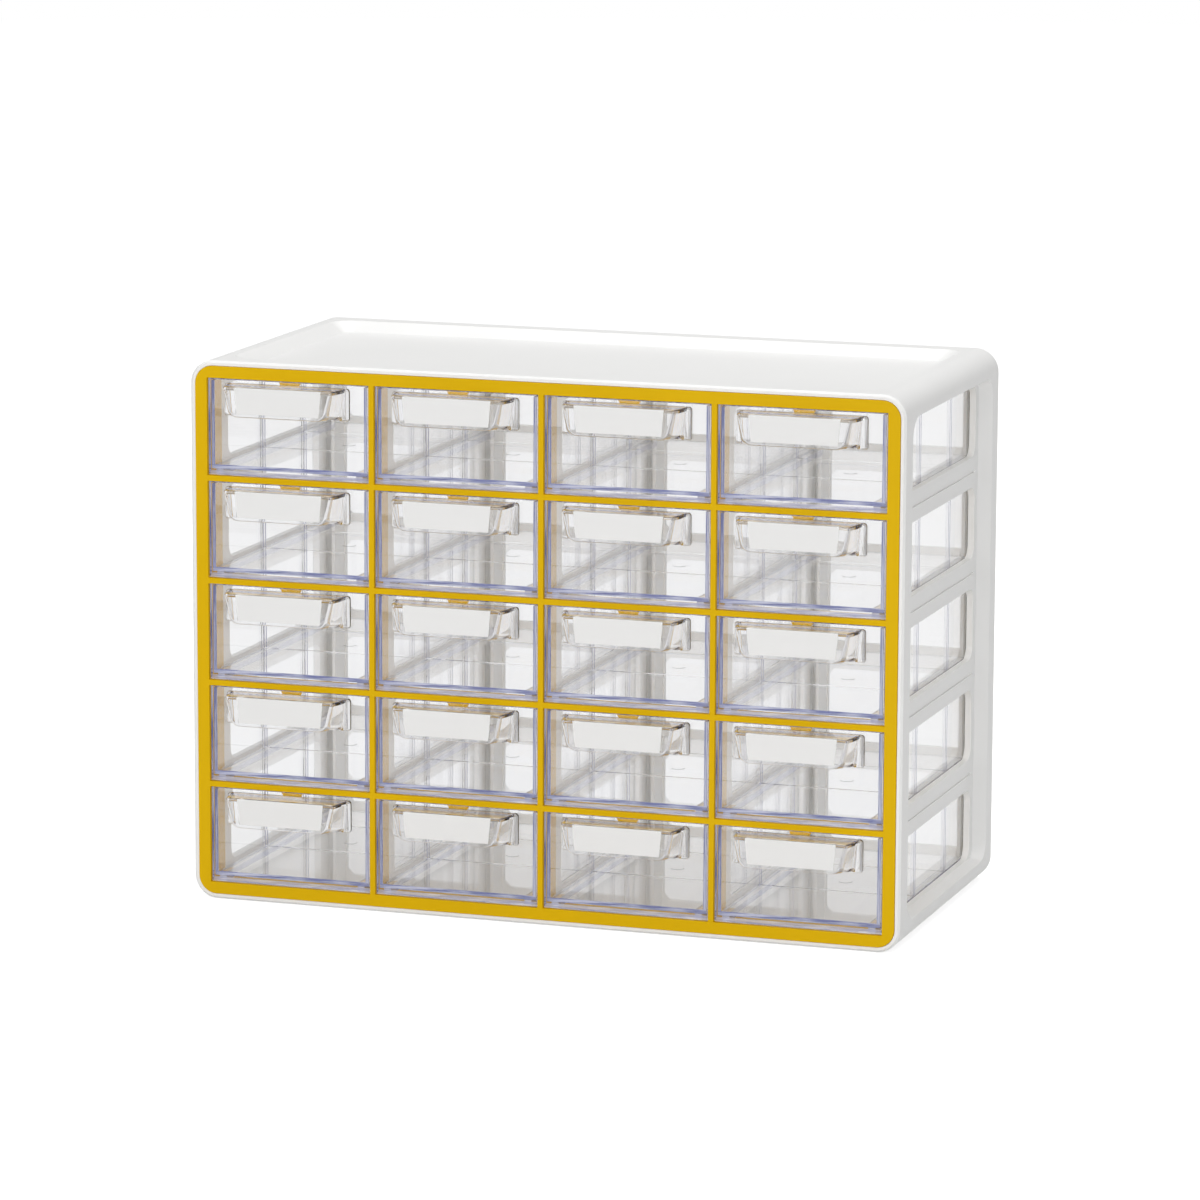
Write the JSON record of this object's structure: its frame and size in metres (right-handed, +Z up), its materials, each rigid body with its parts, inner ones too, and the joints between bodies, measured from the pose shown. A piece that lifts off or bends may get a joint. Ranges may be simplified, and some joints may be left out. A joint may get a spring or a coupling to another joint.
{
  "type": "drawer cabinet",
  "caption": "Tabletop cabinet of clear sliding drawers in a grid front and an open-sided case, each drawer with a finger pull that holds a label card, for stamps and small craft parts",
  "frame": {"origin": "centre of the case's footprint, on the surface it stands on", "axes": "+X across the front to the viewer's right, +Y from the front to the rear, +Z up; drawers open along -Y"},
  "size_m": [0.406, 0.2104, 0.3014],
  "materials": {
    "clear_styrene": "clear, polished",
    "white_plastic": "satin",
    "yellow_plastic": "satin",
    "label_card": "matt"
  },
  "bodies": {
    "cabinet": {"case_shell": "white_plastic", "front_grid": "yellow_plastic", "rear_panel": "white_plastic", "partition_1": "white_plastic", "partition_2": "white_plastic", "partition_3": "white_plastic"},
    "drawer_r1_c1": {"drawer_r1_c1": "clear_styrene", "label_card_r1_c1": "label_card"},
    "drawer_r1_c2": {"drawer_r1_c2": "clear_styrene", "label_card_r1_c2": "label_card"},
    "drawer_r1_c3": {"drawer_r1_c3": "clear_styrene", "label_card_r1_c3": "label_card"},
    "drawer_r1_c4": {"drawer_r1_c4": "clear_styrene", "label_card_r1_c4": "label_card"},
    "drawer_r2_c1": {"drawer_r2_c1": "clear_styrene", "label_card_r2_c1": "label_card"},
    "drawer_r2_c2": {"drawer_r2_c2": "clear_styrene", "label_card_r2_c2": "label_card"},
    "drawer_r2_c3": {"drawer_r2_c3": "clear_styrene", "label_card_r2_c3": "label_card"},
    "drawer_r2_c4": {"drawer_r2_c4": "clear_styrene", "label_card_r2_c4": "label_card"},
    "drawer_r3_c1": {"drawer_r3_c1": "clear_styrene", "label_card_r3_c1": "label_card"},
    "drawer_r3_c2": {"drawer_r3_c2": "clear_styrene", "label_card_r3_c2": "label_card"},
    "drawer_r3_c3": {"drawer_r3_c3": "clear_styrene", "label_card_r3_c3": "label_card"},
    "drawer_r3_c4": {"drawer_r3_c4": "clear_styrene", "label_card_r3_c4": "label_card"},
    "drawer_r4_c1": {"drawer_r4_c1": "clear_styrene", "label_card_r4_c1": "label_card"},
    "drawer_r4_c2": {"drawer_r4_c2": "clear_styrene", "label_card_r4_c2": "label_card"},
    "drawer_r4_c3": {"drawer_r4_c3": "clear_styrene", "label_card_r4_c3": "label_card"},
    "drawer_r4_c4": {"drawer_r4_c4": "clear_styrene", "label_card_r4_c4": "label_card"},
    "drawer_r5_c1": {"drawer_r5_c1": "clear_styrene", "label_card_r5_c1": "label_card"},
    "drawer_r5_c2": {"drawer_r5_c2": "clear_styrene", "label_card_r5_c2": "label_card"},
    "drawer_r5_c3": {"drawer_r5_c3": "clear_styrene", "label_card_r5_c3": "label_card"},
    "drawer_r5_c4": {"drawer_r5_c4": "clear_styrene", "label_card_r5_c4": "label_card"}
  },
  "joints": [
    {"name": "drawer_r1_c1_slide", "type": "slide", "parent": "cabinet", "child": "drawer_r1_c1", "axis": [0, -1, 0], "range_m": [0, 0.167]},
    {"name": "drawer_r1_c2_slide", "type": "slide", "parent": "cabinet", "child": "drawer_r1_c2", "axis": [0, -1, 0], "range_m": [0, 0.167]},
    {"name": "drawer_r1_c3_slide", "type": "slide", "parent": "cabinet", "child": "drawer_r1_c3", "axis": [0, -1, 0], "range_m": [0, 0.167]},
    {"name": "drawer_r1_c4_slide", "type": "slide", "parent": "cabinet", "child": "drawer_r1_c4", "axis": [0, -1, 0], "range_m": [0, 0.167]},
    {"name": "drawer_r2_c1_slide", "type": "slide", "parent": "cabinet", "child": "drawer_r2_c1", "axis": [0, -1, 0], "range_m": [0, 0.167]},
    {"name": "drawer_r2_c2_slide", "type": "slide", "parent": "cabinet", "child": "drawer_r2_c2", "axis": [0, -1, 0], "range_m": [0, 0.167]},
    {"name": "drawer_r2_c3_slide", "type": "slide", "parent": "cabinet", "child": "drawer_r2_c3", "axis": [0, -1, 0], "range_m": [0, 0.167]},
    {"name": "drawer_r2_c4_slide", "type": "slide", "parent": "cabinet", "child": "drawer_r2_c4", "axis": [0, -1, 0], "range_m": [0, 0.167]},
    {"name": "drawer_r3_c1_slide", "type": "slide", "parent": "cabinet", "child": "drawer_r3_c1", "axis": [0, -1, 0], "range_m": [0, 0.167]},
    {"name": "drawer_r3_c2_slide", "type": "slide", "parent": "cabinet", "child": "drawer_r3_c2", "axis": [0, -1, 0], "range_m": [0, 0.167]},
    {"name": "drawer_r3_c3_slide", "type": "slide", "parent": "cabinet", "child": "drawer_r3_c3", "axis": [0, -1, 0], "range_m": [0, 0.167]},
    {"name": "drawer_r3_c4_slide", "type": "slide", "parent": "cabinet", "child": "drawer_r3_c4", "axis": [0, -1, 0], "range_m": [0, 0.167]},
    {"name": "drawer_r4_c1_slide", "type": "slide", "parent": "cabinet", "child": "drawer_r4_c1", "axis": [0, -1, 0], "range_m": [0, 0.167]},
    {"name": "drawer_r4_c2_slide", "type": "slide", "parent": "cabinet", "child": "drawer_r4_c2", "axis": [0, -1, 0], "range_m": [0, 0.167]},
    {"name": "drawer_r4_c3_slide", "type": "slide", "parent": "cabinet", "child": "drawer_r4_c3", "axis": [0, -1, 0], "range_m": [0, 0.167]},
    {"name": "drawer_r4_c4_slide", "type": "slide", "parent": "cabinet", "child": "drawer_r4_c4", "axis": [0, -1, 0], "range_m": [0, 0.167]},
    {"name": "drawer_r5_c1_slide", "type": "slide", "parent": "cabinet", "child": "drawer_r5_c1", "axis": [0, -1, 0], "range_m": [0, 0.167]},
    {"name": "drawer_r5_c2_slide", "type": "slide", "parent": "cabinet", "child": "drawer_r5_c2", "axis": [0, -1, 0], "range_m": [0, 0.167]},
    {"name": "drawer_r5_c3_slide", "type": "slide", "parent": "cabinet", "child": "drawer_r5_c3", "axis": [0, -1, 0], "range_m": [0, 0.167]},
    {"name": "drawer_r5_c4_slide", "type": "slide", "parent": "cabinet", "child": "drawer_r5_c4", "axis": [0, -1, 0], "range_m": [0, 0.167]}
  ]
}
